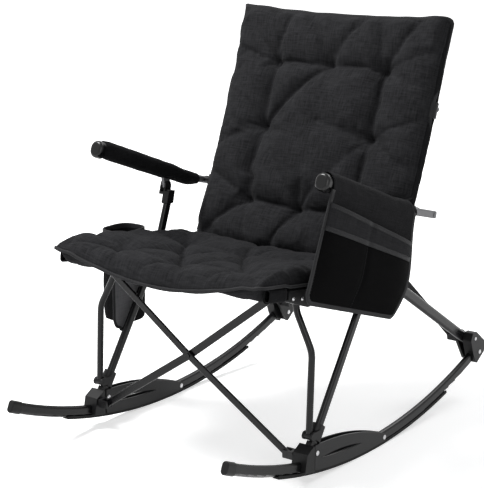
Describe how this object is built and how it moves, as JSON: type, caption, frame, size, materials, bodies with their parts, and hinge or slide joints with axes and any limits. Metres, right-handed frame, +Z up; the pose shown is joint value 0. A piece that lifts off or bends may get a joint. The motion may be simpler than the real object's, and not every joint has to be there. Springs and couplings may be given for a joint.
{
  "type": "folding rocking camp chair",
  "caption": "Folding rocking camp chair with curved tube rockers, tufted padded seat and back, crossed braces, padded armrests, a pocket organizer and a cup pouch.",
  "frame": {"origin": "on the floor midway between the rockers, under the line where they touch the floor", "axes": "+Z up, +Y to the rear of the chair (it faces -Y), +X to the sitter's left; the side named right is at +X, on the right of the picture"},
  "size_m": [0.7439, 1.0446, 0.9504],
  "materials": {
    "tube": "satin powder coat",
    "plate": "satin powder coat",
    "link": "satin",
    "plastic": "moulded, fine grain",
    "gloss": "glossy moulding",
    "rubber": "matt rubber",
    "rivet": "plain steel",
    "fabric": "woven polyester",
    "padding": "padded woven polyester",
    "arm_fabric": "padded woven polyester",
    "mesh": "open mesh",
    "cup_fabric": "woven polyester"
  },
  "bodies": {
    "right_frame": {"rocker_right": "tube", "rocker_cap_right": "plastic", "rocker_strip_right": "rubber", "front_foot_right": "plastic", "foot_wing_outer_right": "plate", "foot_wing_inner_right": "plate", "arm_post_right": "tube", "arm_fork_right": "plastic", "rear_bracket_right": "plastic", "frame_rivets_right": "rivet"},
    "right_slider": {"post_slider_right": "plastic"},
    "right_leg": {"front_leg_right": "tube"},
    "right_seat": {"seat_rail_right": "tube", "seat_hub_right": "plastic", "back_pivot_bracket_right": "plate", "seat_sleeve_right": "fabric", "seat_pad": "padding"},
    "right_back": {"back_tube_right": "tube", "back_sleeve_right": "fabric", "back_hub_right": "plastic", "arm_slide_right": "plastic", "back_pad": "padding"},
    "right_arm": {"arm_bar_right": "tube", "arm_pad_right": "arm_fabric", "arm_cap_right": "gloss", "organizer_panel": "fabric", "organizer_pocket": "mesh"},
    "right_front_link": {"front_link_right": "link"},
    "right_rear_link": {"rear_link_right": "link"},
    "left_frame": {"rocker_left": "tube", "rocker_cap_left": "plastic", "rocker_strip_left": "rubber", "front_foot_left": "plastic", "foot_wing_outer_left": "plate", "foot_wing_inner_left": "plate", "arm_post_left": "tube", "arm_fork_left": "plastic", "rear_bracket_left": "plastic", "frame_rivets_left": "rivet", "cup_panel": "cup_fabric", "cup_pouch": "fabric"},
    "left_slider": {"post_slider_left": "plastic"},
    "left_leg": {"front_leg_left": "tube"},
    "left_seat": {"seat_rail_left": "tube", "seat_hub_left": "plastic", "back_pivot_bracket_left": "plate", "seat_sleeve_left": "fabric"},
    "left_back": {"back_tube_left": "tube", "back_sleeve_left": "fabric", "back_hub_left": "plastic", "arm_slide_left": "plastic"},
    "left_arm": {"arm_bar_left": "tube", "arm_pad_left": "arm_fabric", "arm_cap_left": "gloss"},
    "left_front_link": {"front_link_left": "link"},
    "left_rear_link": {"rear_link_left": "link"},
    "front_brace_a": {"front_brace_a": "tube"},
    "front_brace_b": {"front_brace_b": "tube"},
    "rear_brace_a": {"rear_brace_a": "tube"},
    "rear_brace_b": {"rear_brace_b": "tube"}
  },
  "joints": [
    {"name": "fold_width", "type": "slide", "parent": "right_frame", "child": "left_frame", "axis": [1, 0, 0], "range_m": [0, 0.26], "deforming": ["seat_pad", "back_pad"]},
    {"name": "right_collar_slide", "type": "slide", "parent": "right_frame", "child": "right_slider", "axis": [0, 0.5523, 0.8336], "range_m": [0, 0.2282]},
    {"name": "right_leg_hinge", "type": "hinge", "parent": "right_slider", "child": "right_leg", "pos_m": [0.3, -0.22604, 0.10543], "axis": [1, 0, 0], "range_deg": [0, 4.45]},
    {"name": "right_seat_hinge", "type": "hinge", "parent": "right_frame", "child": "right_seat", "pos_m": [0.2825, 0.465, 0.15305], "axis": [1, 0, 0], "range_deg": [-17.29, 0]},
    {"name": "right_back_hinge", "type": "hinge", "parent": "right_seat", "child": "right_back", "pos_m": [0.2825, 0.125, 0.391], "axis": [1, 0, 0], "range_deg": [0, 42.59]},
    {"name": "right_arm_hinge", "type": "hinge", "parent": "right_frame", "child": "right_arm", "pos_m": [0.313, 0.038, 0.532], "axis": [1, 0, 0], "range_deg": [0, 32.17]},
    {"name": "right_front_link_hinge", "type": "hinge", "parent": "right_frame", "child": "right_front_link", "pos_m": [0.261, -0.247, 0.06425], "axis": [1, 0, 0], "range_deg": [-12.89, 0]},
    {"name": "right_rear_link_hinge", "type": "hinge", "parent": "right_frame", "child": "right_rear_link", "pos_m": [0.25, 0.465, 0.15305], "axis": [1, 0, 0], "range_deg": [0, 2.9]},
    {"name": "left_collar_slide", "type": "slide", "parent": "left_frame", "child": "left_slider", "axis": [0, 0.5523, 0.8336], "range_m": [0, 0.2282]},
    {"name": "left_leg_hinge", "type": "hinge", "parent": "left_slider", "child": "left_leg", "pos_m": [-0.3, -0.22604, 0.10543], "axis": [1, 0, 0], "range_deg": [0, 4.45]},
    {"name": "left_seat_hinge", "type": "hinge", "parent": "left_frame", "child": "left_seat", "pos_m": [-0.2825, 0.465, 0.15305], "axis": [1, 0, 0], "range_deg": [-17.29, 0]},
    {"name": "left_back_hinge", "type": "hinge", "parent": "left_seat", "child": "left_back", "pos_m": [-0.2825, 0.125, 0.391], "axis": [1, 0, 0], "range_deg": [0, 42.59]},
    {"name": "left_arm_hinge", "type": "hinge", "parent": "left_frame", "child": "left_arm", "pos_m": [-0.313, 0.038, 0.532], "axis": [1, 0, 0], "range_deg": [0, 32.17]},
    {"name": "left_front_link_hinge", "type": "hinge", "parent": "left_frame", "child": "left_front_link", "pos_m": [-0.261, -0.247, 0.06425], "axis": [1, 0, 0], "range_deg": [-12.89, 0]},
    {"name": "left_rear_link_hinge", "type": "hinge", "parent": "left_frame", "child": "left_rear_link", "pos_m": [-0.25, 0.465, 0.15305], "axis": [1, 0, 0], "range_deg": [0, 2.9]},
    {"name": "front_brace_a_hinge", "type": "hinge", "parent": "right_front_link", "child": "front_brace_a", "pos_m": [0.261, -0.247, 0.06425], "axis": [0, 0.9976, 0.0691], "range_deg": [0, 31.08]},
    {"name": "front_brace_b_hinge", "type": "hinge", "parent": "left_front_link", "child": "front_brace_b", "pos_m": [-0.261, -0.247, 0.06425], "axis": [0, 0.9976, 0.0691], "range_deg": [-31.08, 0]},
    {"name": "rear_brace_a_hinge", "type": "hinge", "parent": "right_rear_link", "child": "rear_brace_a", "pos_m": [0.25, 0.465, 0.15305], "axis": [0, 0.9524, 0.3049], "range_deg": [0, 21.38]},
    {"name": "rear_brace_b_hinge", "type": "hinge", "parent": "left_rear_link", "child": "rear_brace_b", "pos_m": [-0.25, 0.465, 0.15305], "axis": [0, 0.9524, 0.3049], "range_deg": [-21.38, 0]}
  ],
  "couplings": [
    {"joint": "right_collar_slide", "follows": "fold_width", "ratio": 0.87693},
    {"joint": "right_leg_hinge", "follows": "fold_width", "rad_per_m": 0.29763},
    {"joint": "right_seat_hinge", "follows": "fold_width", "rad_per_m": -1.1591},
    {"joint": "right_back_hinge", "follows": "fold_width", "rad_per_m": 2.8577},
    {"joint": "right_arm_hinge", "follows": "fold_width", "rad_per_m": 2.1582},
    {"joint": "right_front_link_hinge", "follows": "fold_width", "rad_per_m": -0.86425},
    {"joint": "right_rear_link_hinge", "follows": "fold_width", "rad_per_m": 0.19339},
    {"joint": "left_collar_slide", "follows": "fold_width", "ratio": 0.87693},
    {"joint": "left_leg_hinge", "follows": "fold_width", "rad_per_m": 0.29763},
    {"joint": "left_seat_hinge", "follows": "fold_width", "rad_per_m": -1.1591},
    {"joint": "left_back_hinge", "follows": "fold_width", "rad_per_m": 2.8577},
    {"joint": "left_arm_hinge", "follows": "fold_width", "rad_per_m": 2.1582},
    {"joint": "left_front_link_hinge", "follows": "fold_width", "rad_per_m": -0.86425},
    {"joint": "left_rear_link_hinge", "follows": "fold_width", "rad_per_m": 0.19339},
    {"joint": "front_brace_a_hinge", "follows": "fold_width", "rad_per_m": 2.0848},
    {"joint": "front_brace_b_hinge", "follows": "fold_width", "rad_per_m": -2.0848},
    {"joint": "rear_brace_a_hinge", "follows": "fold_width", "rad_per_m": 1.4341},
    {"joint": "rear_brace_b_hinge", "follows": "fold_width", "rad_per_m": -1.4341}
  ]
}
